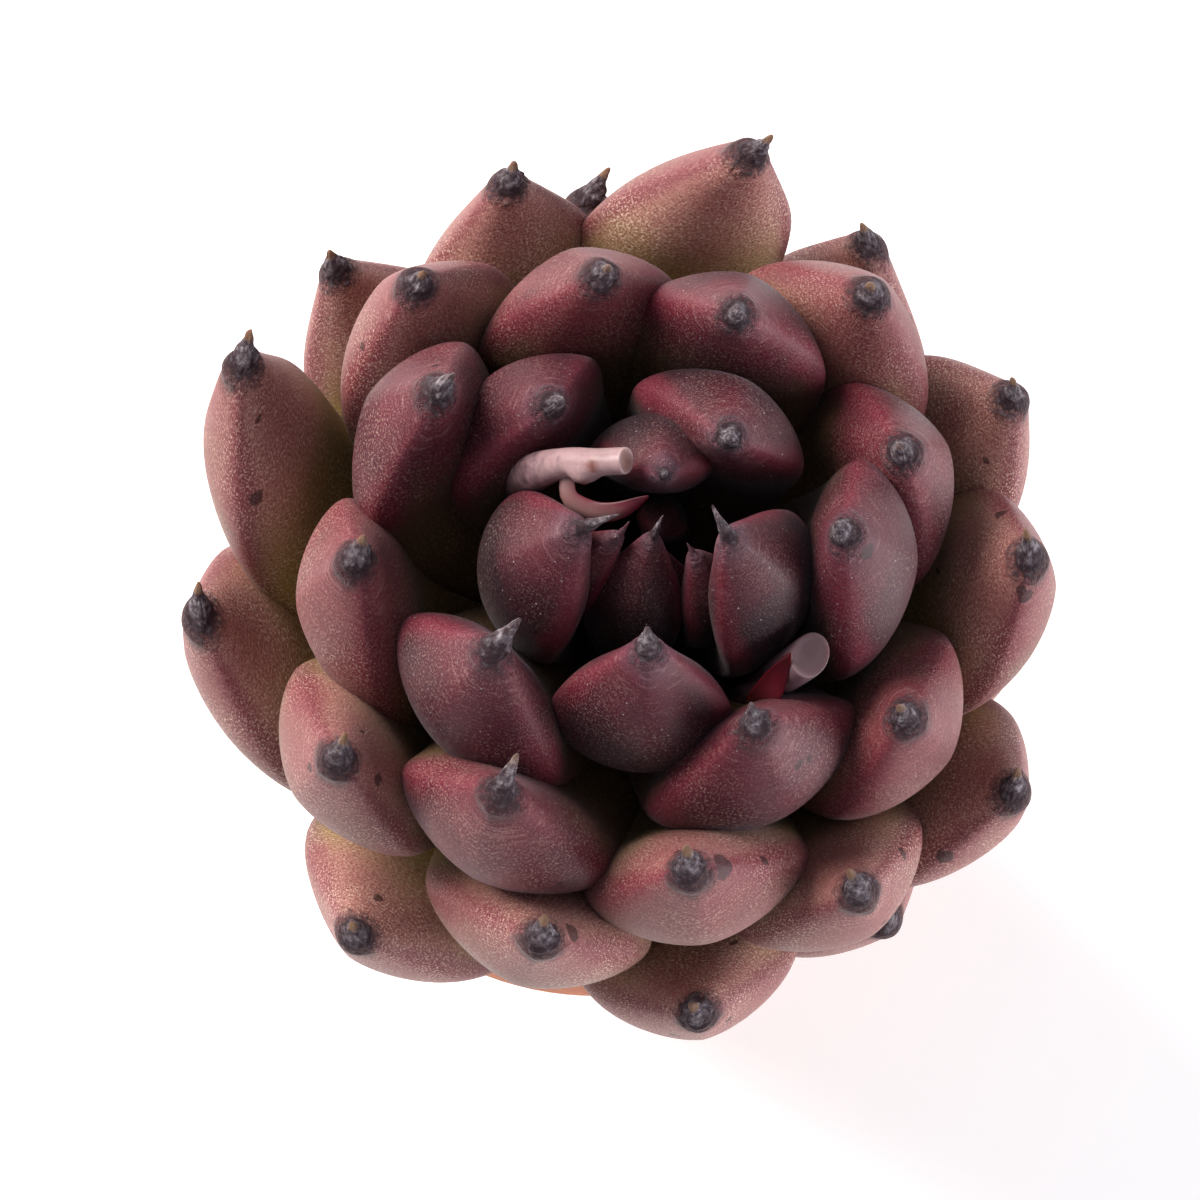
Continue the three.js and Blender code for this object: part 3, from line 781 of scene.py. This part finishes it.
def bend_along(piece, points, length, turn=0):
    """Bends a straight piece that stands on its root along a curve; turn is its twist in degrees."""
    x, y, z = coordinates(piece.data).T
    at, one, two, whole = smooth_path(points, np.clip(z / length, 0, 1))
    c, s = math.cos(math.radians(turn)), math.sin(math.radians(turn))
    past = (z / length - np.clip(z / length, 0, 1)) * whole
    way = np.cross(one, two)
    place = at + one * (c * x - s * y)[:, None] + two * (s * x + c * y)[:, None] + way * past[:, None]
    move_to(piece.data, place)


def make_stalk_flesh(name, skin_shade_stops, cut_stops):
    """Cut flower stalk: soft translucent tissue, dark greyish pink low down, painted shade where it
    rises between the leaves, and paler towards the cut, where a thin ring of bark surrounds the pith.
    Fallen side flowers left brown scars."""
    material, tree, shader = new_material(name)
    place = object_place(tree)
    pith = marked(tree, "pith")
    swayed = sum_of(tree, noise_of(tree, place, 0.7 * MM, 3), 0.35, marked(tree, "height"))
    # The height ramp darkens the low end: painted shade between the leaves
    bark = ramp_of(tree, swayed, skin_shade_stops)
    speck = noise_of(tree, place, 0.22 * MM)
    veined = blend(tree, spread(tree, speck, 0.56, 0.7, 0, 0.35), bark, "#8a5459")
    cut = ramp_of(tree, pith, cut_stops)
    ended = add_node(tree, "Math", {0: pith, 1: 0.02}, operation="GREATER_THAN").outputs[0]
    scarred = blend(tree, marked(tree, "scar"), blend(tree, ended, veined, cut), "#6e4038")
    emboss(tree, shader, speck, 0.3, 0.05 * MM)
    set_inputs(tree, shader, {
        "Base Color": scarred, "Roughness": 0.42, "IOR": 1.42, "Subsurface Weight": 0.3,
        "Subsurface Radius": (1.0, 0.5, 0.45), "Subsurface Scale": 1.5 * MM})
    return material


def make_bract_skin(name, stops, rough):
    """Thin fleshy scale, translucent and smooth; the stops run from its middle to its edges."""
    material, tree, shader = new_material(name)
    drift = noise_of(tree, object_place(tree), 0.8 * MM, 3)
    swayed = sum_of(tree, drift, 0.3, marked(tree, "edge"))
    set_inputs(tree, shader, {
        "Base Color": ramp_of(tree, swayed, stops), "Roughness": rough, "IOR": 1.45,
        "Subsurface Weight": 0.3, "Subsurface Radius": (1.0, 0.35, 0.3), "Subsurface Scale": 0.8 * MM})
    return material


def make_stalk(side, route, radii, end_scale, flesh, nodules=()):
    """A cut stalk: rings from root to cut, flared at the end, then marked, bent and swollen."""
    length = STALK_STEP * len(radii)
    spacing = STALK_STEP * length / (length - STALK_STEP)
    rings = [(radius, i * spacing) for i, radius in enumerate(radii)]
    rings += [(radii[-1] * share, length + rise) for share, rise in CUT_RINGS]
    stalk = make_rings(f"stalk_{side}", rings, STALK_SIDES)
    co = coordinates(stalk.data)
    flare = smooth_step(co[:, 2], length * FLARE_FROM, length)
    co[:, 0] *= 1 + (end_scale[0] - 1) * flare
    co[:, 1] *= 1 + (end_scale[1] - 1) * flare
    move_to(stalk.data, co)
    subdivide(stalk, 2)

    mesh = stalk.data
    co = coordinates(mesh)
    out = np.hypot(co[:, 0], co[:, 1])
    widest = out[co[:, 2] > length * CUT_FROM].max()
    pith = np.where(co[:, 2] > length - PITH_DEPTH, 1 - out / (widest * CUT_FROM), 0)
    paint(mesh, "height", co[:, 2] / length)
    paint(mesh, "pith", np.clip(pith, 0, 1))
    bend_along(stalk, route, length)
    co = coordinates(mesh)
    outward = np.array([v.normal for v in mesh.vertices])
    scar, swell = np.zeros(len(co)), np.zeros(len(co))
    for spot, wide, high in nodules:
        away = np.linalg.norm(co - np.array(spot), axis=1) / wide
        scar = np.maximum(scar, 1 - smooth_step(away, *NODULE_SCAR))
        swell = np.maximum(swell, high * (1 - smooth_step(away, *NODULE_SWELL)))
    move_to(mesh, co + outward * swell[:, None])
    paint(mesh, "scar", scar)
    settle(stalk, PLANT)
    stand_for(stalk, f"flower_stalk_{side}", flesh)


def make_bract(side, route, half_width, thickness, turn, skin):
    """A thin pointed scale, cupped along its middle, that grows out of its stalk."""
    start, before = BRACT_WIDTHS[0]
    sections = [(start, half_width * before, thickness / 2 * before)]
    for at, wide in BRACT_WIDTHS[1:]:
        thinner = sections[-1][2] * max(wide / before, BRACT_THINNING)
        sections.append((at, half_width * wide, thinner))
        before = wide
    bract = make_oval(f"bract_{side}", sections, STALK_SIDES, 0.2)
    bpy.ops.object.mode_set(mode="OBJECT")
    subdivide(bract, 2)
    co = coordinates(bract.data)
    rim = np.abs(co[:, 0]) / half_width
    towards_point = smooth_step(co[:, 2], BRACT_LENGTH / 2, BRACT_LENGTH)
    paint(bract.data, "edge", np.clip(0.75 * rim ** 2 + 0.9 * towards_point, 0, 1))
    co[:, 1] += BRACT_CUPPING * half_width * rim ** 2
    move_to(bract.data, co)
    bend_along(bract, route, BRACT_LENGTH, turn)
    settle(bract, PLANT)
    stand_for(bract, f"flower_stalk_{side}", skin)


def make_left_stalk():
    # Lit copy of the stalk tissue; the right stalk gets a darker copy as painted shade
    flesh = make_stalk_flesh(
        "lit_stalk_tissue",
        [(0.68, "#2c1d22"), (1.0, "#9c7f80"), (0.82, "#5c464a"), (0.92, "#846a6e")],
        [(0.05, "#ad9392"), (0.95, "#7a5146"), (0.3, "#8f706d"), (0.6, "#845f57")])
    make_stalk("left", LEFT_STALK, LEFT_RADII, (1, 1.15), flesh, LEFT_NODULES)
    stops = [(0.25, "#84605f"), (1.0, "#560f1e"), (0.6, "#7c4a4e"), (0.8, "#712836")]
    make_bract("left", LEFT_BRACT, 0.9, 0.45, 90, make_bract_skin("pale_bract_skin", stops, 0.36))


def make_right_stalk():
    # Darker copy of the stalk tissue: painted shade, as this stalk stands in shade
    flesh = make_stalk_flesh(
        "shaded_stalk_tissue",
        [(0.68, "#1f1419"), (1.0, "#69535a"), (0.84, "#3a282f"), (0.93, "#4f3c43")],
        [(0.05, "#755f60"), (0.95, "#523c40"), (0.22, "#5d474b"), (0.6, "#574246")])
    make_stalk("right", RIGHT_STALK, RIGHT_RADII, (0.95, 1.3), flesh)
    stops = [(0.2, "#6a1f2d"), (1.0, "#3c0812"), (0.5, "#5b1421"), (0.72, "#4c0e1a")]
    make_bract("right", RIGHT_BRACT, 1.0, 0.5, 0, make_bract_skin("glossy_bract_skin", stops, 0.22))


# ---- Crown ----

def make_crown(skin):
    """The short core that every leaf grows from, seen only between the leaf bases."""
    low = -CROWN_DEPTH / MM
    rings = [
        (CROWN_RADIUS - 0.4, low), (CROWN_RADIUS, low / 2), (CROWN_RADIUS - 0.8, 0),
        (CROWN_RADIUS - 2, CROWN_TOP - 2)]
    crown = make_rings("crown", rings, 32)
    subdivide(crown, 1)
    blade_map(crown.data).data.foreach_set("uv", np.full(2 * len(crown.data.loops), CROWN_SKIN_AT))
    settle(crown, PLANT)
    stand_for(crown, "rosette", skin)


# ---- Pot, soil and stem ----

def make_terracotta():
    """Unglazed earthenware, fired once: matte, orange brown, with fine sand, turning lines, and a pale
    lime bloom low down, where water dried through the wall."""
    material, tree, shader = new_material("unglazed_terracotta")
    place = object_place(tree)
    height = add_node(tree, "SeparateXYZ", {"Vector": place}).outputs["Z"]
    drift = noise_of(tree, place, 14 * MM, 5, 0.6)
    sand = noise_of(tree, place, 0.5 * MM)
    body = ramp_of(tree, drift, [(0.3, "#94502f"), (0.75, "#bb7650"), (0.5, "#a95f3b")])
    sanded = blend(tree, spread(tree, sand, 0.58, 0.72, 0, 0.25), body, "#cf9472")
    # Lime gathers in a cloudy band that rises unevenly from the foot
    cloud = noise_of(tree, place, 5 * MM, 4, 0.6)
    rise = sum_of(tree, cloud, -22 * MM, height)
    lime = product(
        tree, spread(tree, rise, 8 * MM, -12 * MM, 0, 0.6), spread(tree, sand, 0.15, 0.7, 0.5, 1))
    # Turning lines about 0.9 mm apart, never quite level
    lines = wave_of(tree, "SINE", sum_of(tree, drift, 1.2 * MM, height), 1 / (0.9 * MM))
    emboss(tree, shader, sum_of(tree, lines, 0.18, sand), 0.5, 0.12 * MM)
    limed = blend(tree, lime, sanded, "#d9c2ae")
    set_inputs(tree, shader, {"Base Color": limed, "Roughness": 0.88, "IOR": 1.5})
    return material


def make_pot():
    """Thrown pot: a ring drawn out to the foot, up the wall, round the rim and down the inside."""
    shoulder = POT_RIM_RADIUS - BAND_SHOULDER
    rings = [
        (DRAIN_RADIUS, 0), (POT_FOOT_RADIUS - FOOT_ROUND, 0), (POT_FOOT_RADIUS, FOOT_ROUND),
        (POT_FOOT_RADIUS + (WALL_TOP - POT_FOOT_RADIUS) * 0.5, POT_BAND * 0.5), (WALL_TOP, POT_BAND),
        (shoulder, POT_BAND + 0.33), (shoulder + BAND_SHOULDER / 2, POT_BAND + 1),
        (POT_RIM_RADIUS - 0.12, POT_HEIGHT - 3), (POT_RIM_RADIUS, POT_HEIGHT - 1),
        (POT_RIM_RADIUS - 0.25, POT_HEIGHT - 0.25), (POT_RIM_RADIUS - 0.9, POT_HEIGHT),
        (INSIDE_TOP + 0.9, POT_HEIGHT), (INSIDE_TOP + 0.25, POT_HEIGHT - 0.3),
        (INSIDE_TOP, POT_HEIGHT - 1.2), (INSIDE_BAND, POT_BAND), (INSIDE_FOOT, POT_FLOOR + FLOOR_ROUND),
        (INSIDE_FOOT - FLOOR_ROUND, POT_FLOOR), (DRAIN_RADIUS, POT_FLOOR), (DRAIN_RADIUS, 0),
    ]
    pot = make_rings("clay_pot", rings, POT_SIDES, closed=False)
    # A thrown wall is never quite round or even
    for vertex in pot.data.vertices:
        height = vertex.co.z
        if 0.5 < height < POT_HEIGHT - 0.1:
            wobble = noise.noise(Vector((vertex.co.x / 16, vertex.co.y / 16, height / 9))) * POT_WOBBLE
            grow = 1 + min(wobble, 0) / math.hypot(vertex.co.x, vertex.co.y)
            vertex.co.x *= grow
            vertex.co.y *= grow
    edges = pot.modifiers.new("soft_edges", "BEVEL")
    edges.width = 0.25
    edges.segments = 2
    edges.limit_method = "ANGLE"
    edges.angle_limit = math.radians(35)
    apply_modifiers(pot)
    bpy.ops.object.shade_smooth_by_angle(angle=math.radians(40))
    settle(pot)
    stand_for(pot, "pot", make_terracotta())


def make_mix():
    """Gritty succulent potting mix: matte dark peat and bark crumbs with paler mineral specks."""
    material, tree, shader = new_material("gritty_potting_mix")
    place = object_place(tree)
    crumbs = cells_of(tree, place, 1.1 * MM)
    tone = add_node(tree, "SeparateColor", {"Color": crumbs["Color"]}).outputs[0]
    colour = ramp_of(tree, tone, [
        (0.0, "#1f1611"), (1.0, "#8d7d69"), (0.5, "#3a2a1f"), (0.85, "#5b4433"), (0.93, "#6f5a45")])
    fine = noise_of(tree, place, 0.6 * MM, 3, 0.7)
    emboss(tree, shader, sum_of(tree, crumbs["Distance"], -0.8, fine), 0.9, 0.5 * MM)
    set_inputs(tree, shader, {"Base Color": colour, "Roughness": 0.95})
    return material


def make_stone(name, colours, rough):
    """Small mineral grit or bark crumbs: matte and pitted, between the two colours."""
    material, tree, shader = new_material(name)
    place = object_place(tree)
    drift = noise_of(tree, place, 1.6 * MM, 4)
    stone = ramp_of(tree, drift, [(0.3, colours[0]), (0.7, colours[1])])
    emboss(tree, shader, noise_of(tree, place, 0.35 * MM), 0.7, 0.15 * MM)
    set_inputs(tree, shader, {"Base Color": stone, "Roughness": rough})
    return material


def soil_height(x, y):
    """The soil's lumpy top, as in the part."""
    lumps = math.sin(0.9 * x + 1.3) * math.cos(0.8 * y) + 0.6 * math.sin(1.7 * x - 1.1 * y)
    return SOIL_TOP + SOIL_RELIEF * lumps


def off_stem(x, y):
    """How far a place on the soil lies from the stem's side, in millimetres."""
    return math.hypot(x - PLANT.x / MM, y - PLANT.y / MM) - STEM_RADIUS


def make_soil():
    """The fill: a tapered plug with a crumbly top, heaped a little round the stem."""
    gap = FIT_GAP / MM
    low, edge = INSIDE_FOOT - gap, INSIDE_BAND + 0.7
    rings = [
        (low - FLOOR_ROUND, POT_FLOOR + gap), (low, POT_FLOOR + FLOOR_ROUND), (edge - 1.2, POT_BAND),
        (edge, SOIL_TOP)]
    rings += [(edge * (1 - i / SOIL_STEPS), SOIL_TOP) for i in range(1, SOIL_STEPS)]
    soil = make_rings("potting_mix", rings, 96)
    for vertex in soil.data.vertices:
        x, y, z = vertex.co
        if z > SOIL_TOP - 0.1:
            crumb = noise.fractal(Vector((x, y, 0)) / CRUMB_SIZE, 1.0, 2.0, 3) * CRUMB_RELIEF
            heap = SOIL_HEAP * math.exp(-(off_stem(x, y) / HEAP_WIDTH) ** 2)
            vertex.co.z = soil_height(x, y) + crumb + heap
    bpy.ops.object.shade_smooth_by_angle(angle=math.radians(50))
    settle(soil)
    mix = make_mix()
    stand_for(soil, "soil", mix)
    pale = make_stone("crushed_pumice", ("#b9b2a6", "#e6e1d8"), 0.9)
    bark = make_stone("pine_bark_crumb", ("#2c1c14", "#5a3d2a"), 0.85)
    scatter_grit("pumice_grit", 90, (0.45, 1.15), 0.75, pale, 11)
    scatter_grit("bark_crumbs", 170, (0.5, 1.5), 0.45, bark, 12)
    scatter_grit("peat_crumbs", 240, (0.35, 0.9), 0.8, mix, 13)


def scatter_grit(name, count, sizes, flatness, material, seed):
    """Crumbs modelled once and strewn over the soil, each turned and stretched its own way."""
    draw = random.Random(seed)
    deselect()
    bpy.ops.mesh.primitive_ico_sphere_add(subdivisions=1, radius=1)
    crumb = bpy.context.object
    for vertex in crumb.data.vertices:
        vertex.co *= 1 + 0.35 * noise.noise(vertex.co * 1.4 + Vector((seed, 0, 0)))
    bpy.ops.object.mode_set(mode="EDIT")
    bpy.ops.mesh.select_all(action="SELECT")
    # One face is broken off flat
    bpy.ops.mesh.bisect(
        plane_co=(0.45, 0.2, 0.3), plane_no=(0.7, 0.3, 0.6), clear_outer=True, use_fill=True)
    bpy.ops.object.mode_set(mode="OBJECT")
    copies = []
    while len(copies) < count:
        way, out = draw.uniform(0, 2 * math.pi), GRIT_REACH * math.sqrt(draw.random())
        x, y = out * math.cos(way), out * math.sin(way)
        size = draw.uniform(*sizes) / 2
        if off_stem(x, y) < GRIT_CLEARANCE + size:
            continue
        copy = crumb.copy()
        copy.data = crumb.data.copy()
        bpy.context.collection.objects.link(copy)
        stretch = Matrix.Diagonal((size, size * draw.uniform(0.6, 1), size * flatness, 1))
        spin = Matrix.Rotation(draw.uniform(0, 2 * math.pi), 4, "Z")
        spin = spin @ Matrix.Rotation(draw.uniform(-0.5, 0.5), 4, "X")
        sit = Matrix.Translation((x, y, soil_height(x, y) + size * flatness * 0.35))
        copy.data.transform(sit @ spin @ stretch @ Matrix.Rotation(draw.uniform(0, 6), 4, "Y"))
        copies.append(copy)
    bpy.data.objects.remove(crumb)
    deselect()
    for copy in copies:
        copy.select_set(True)
    bpy.context.view_layer.objects.active = copies[0]
    bpy.ops.object.join()
    grit = bpy.context.object
    grit.name = name
    settle(grit)
    stand_for(grit, "soil", material)


def make_bark():
    """Corky stem skin of a succulent: dry grey brown, split lengthwise, with pale dry leaf scars."""
    material, tree, shader = new_material("corky_stem_bark")
    drawn = add_node(tree, "Mapping", {"Vector": object_place(tree), "Scale": (1, 1, 0.3)})
    fibre = noise_of(tree, drawn.outputs["Vector"], 0.5 * MM, 4)
    bark = ramp_of(tree, fibre, [(0.3, "#3b2c22"), (0.72, "#9a8469"), (0.5, "#6b5541")])
    scarred = blend(tree, marked(tree, "scar"), bark, "#b59f80")
    emboss(tree, shader, fibre, 0.8, 0.25 * MM)
    set_inputs(tree, shader, {"Base Color": scarred, "Roughness": 0.9})
    return material


def make_stem():
    """The woody stem, with crescent scars of fallen leaves wound round it like the leaves above."""
    low, high = STEM_LOW.z / MM, STEM_HIGH.z / MM
    rings = [(STEM_RADIUS * 0.7, low)]
    for i in range(STEM_RINGS + 1):
        rings.append((STEM_RADIUS, low + 0.3 + (high - low - 0.4) * i / STEM_RINGS))
    rings += [(STEM_RADIUS - 0.4, high)]
    stem = make_rings("woody_stem", rings, 64)
    marks = [(math.radians(SPIRAL_ANGLE * i), low + 1 + (high - low - 1.6) * i / (STEM_SCARS - 1))
             for i in range(STEM_SCARS)]
    scars = []
    for vertex in stem.data.vertices:
        x, y, z = vertex.co
        around = math.atan2(y, x)
        scar = 0
        for way, height in marks:
            off = (around - way + math.pi) % (2 * math.pi) - math.pi
            drop = z - height + 0.35 * off * off
            scar = max(scar, math.exp(-(off / 0.75) ** 4 - (drop / 0.42) ** 2))
        worn = BARK_WEAR * (0.5 + noise.noise(Vector((x, y, z * 0.4))))
        grow = 1 + (SCAR_RISE * scar - worn) / STEM_RADIUS
        vertex.co.x *= grow
        vertex.co.y *= grow
        scars.append(scar * 0.7)
    paint(stem.data, "scar", scars)
    bpy.ops.object.shade_smooth_by_angle(angle=math.radians(60))
    settle(stem, (PLANT.x, PLANT.y, 0))
    stand_for(stem, "stem", make_bark())


# ---- Floor, light and camera ----

def make_floor():
    """A plain pale sheet, far wider than the view."""
    deselect()
    bpy.ops.mesh.primitive_plane_add(size=4, location=(0, 0, -0.02 * MM))
    floor = bpy.context.object
    floor.name = "pale_floor"
    bpy.ops.object.transform_apply(location=True, rotation=True, scale=True)
    material, tree, shader = new_material("pale_matte_paper")
    set_inputs(tree, shader, {
        "Base Color": linear("#f4f3f1"), "Roughness": 0.9, "Emission Color": linear("#ffffff"),
        "Emission Strength": 0.3})
    floor.data.materials.append(material)


def view_axes():
    """The photograph's right, up and towards-the-camera directions."""
    raised = Vector((0, math.cos(CAMERA_TILT), math.sin(CAMERA_TILT)))
    sideways = Vector((1, 0, 0))
    right = math.cos(CAMERA_TURN) * sideways - math.sin(CAMERA_TURN) * raised
    up = math.sin(CAMERA_TURN) * sideways + math.cos(CAMERA_TURN) * raised
    return right, up, right.cross(up)


def make_camera():
    right, up, back = view_axes()
    data = bpy.data.cameras.new("photo_camera")
    data.sensor_fit = "HORIZONTAL"
    data.sensor_width = SENSOR_WIDTH
    data.lens = SENSOR_WIDTH * PHOTO_FOCUS / PHOTO_WIDTH
    data.shift_x = -PHOTO_OFFSET / PHOTO_WIDTH
    data.clip_start = 0.01
    camera = bpy.data.objects.new("photo_camera", data)
    bpy.context.collection.objects.link(camera)
    turn = Matrix((right, up, back)).transposed().to_4x4()
    camera.matrix_world = Matrix.Translation(PLANT + CAMERA_DISTANCE * back) @ turn
    bpy.context.scene.camera = camera


def add_softbox(name, direction, distance, size, power, colour):
    """A square light that faces the plant from a direction given on the photograph's axes."""
    right, up, back = view_axes()
    way = (direction[0] * right + direction[1] * up + direction[2] * back).normalized()
    data = bpy.data.lights.new(name, "AREA")
    data.size = size
    data.energy = power
    data.color = linear(colour)[:3]
    lamp = bpy.data.objects.new(name, data)
    bpy.context.collection.objects.link(lamp)
    lamp.location = PLANT + distance * way
    lamp.rotation_euler = way.to_track_quat("Z", "Y").to_euler()


def make_light():
    world = bpy.data.worlds.new("white_room")
    bpy.context.scene.world = world
    world.use_nodes = True
    tree = world.node_tree
    set_inputs(tree, tree.nodes["Background"], {"Color": linear("#eef1fd"), "Strength": 0.5})
    add_softbox("window", (-0.65, 0.6, 0.5), 0.6, 0.35, 6.9, "#fffaf4")
    add_softbox("reflector", (0.95, -0.25, 0.0), 0.5, 0.4, 4.8, "#fbfcff")
    bpy.context.scene.view_settings.view_transform = "Standard"


skin = make_leaf_skin()
make_leaves(skin)
make_crown(skin)
make_pot()
make_soil()
make_stem()
make_left_stalk()
make_right_stalk()
make_floor()
make_camera()
make_light()
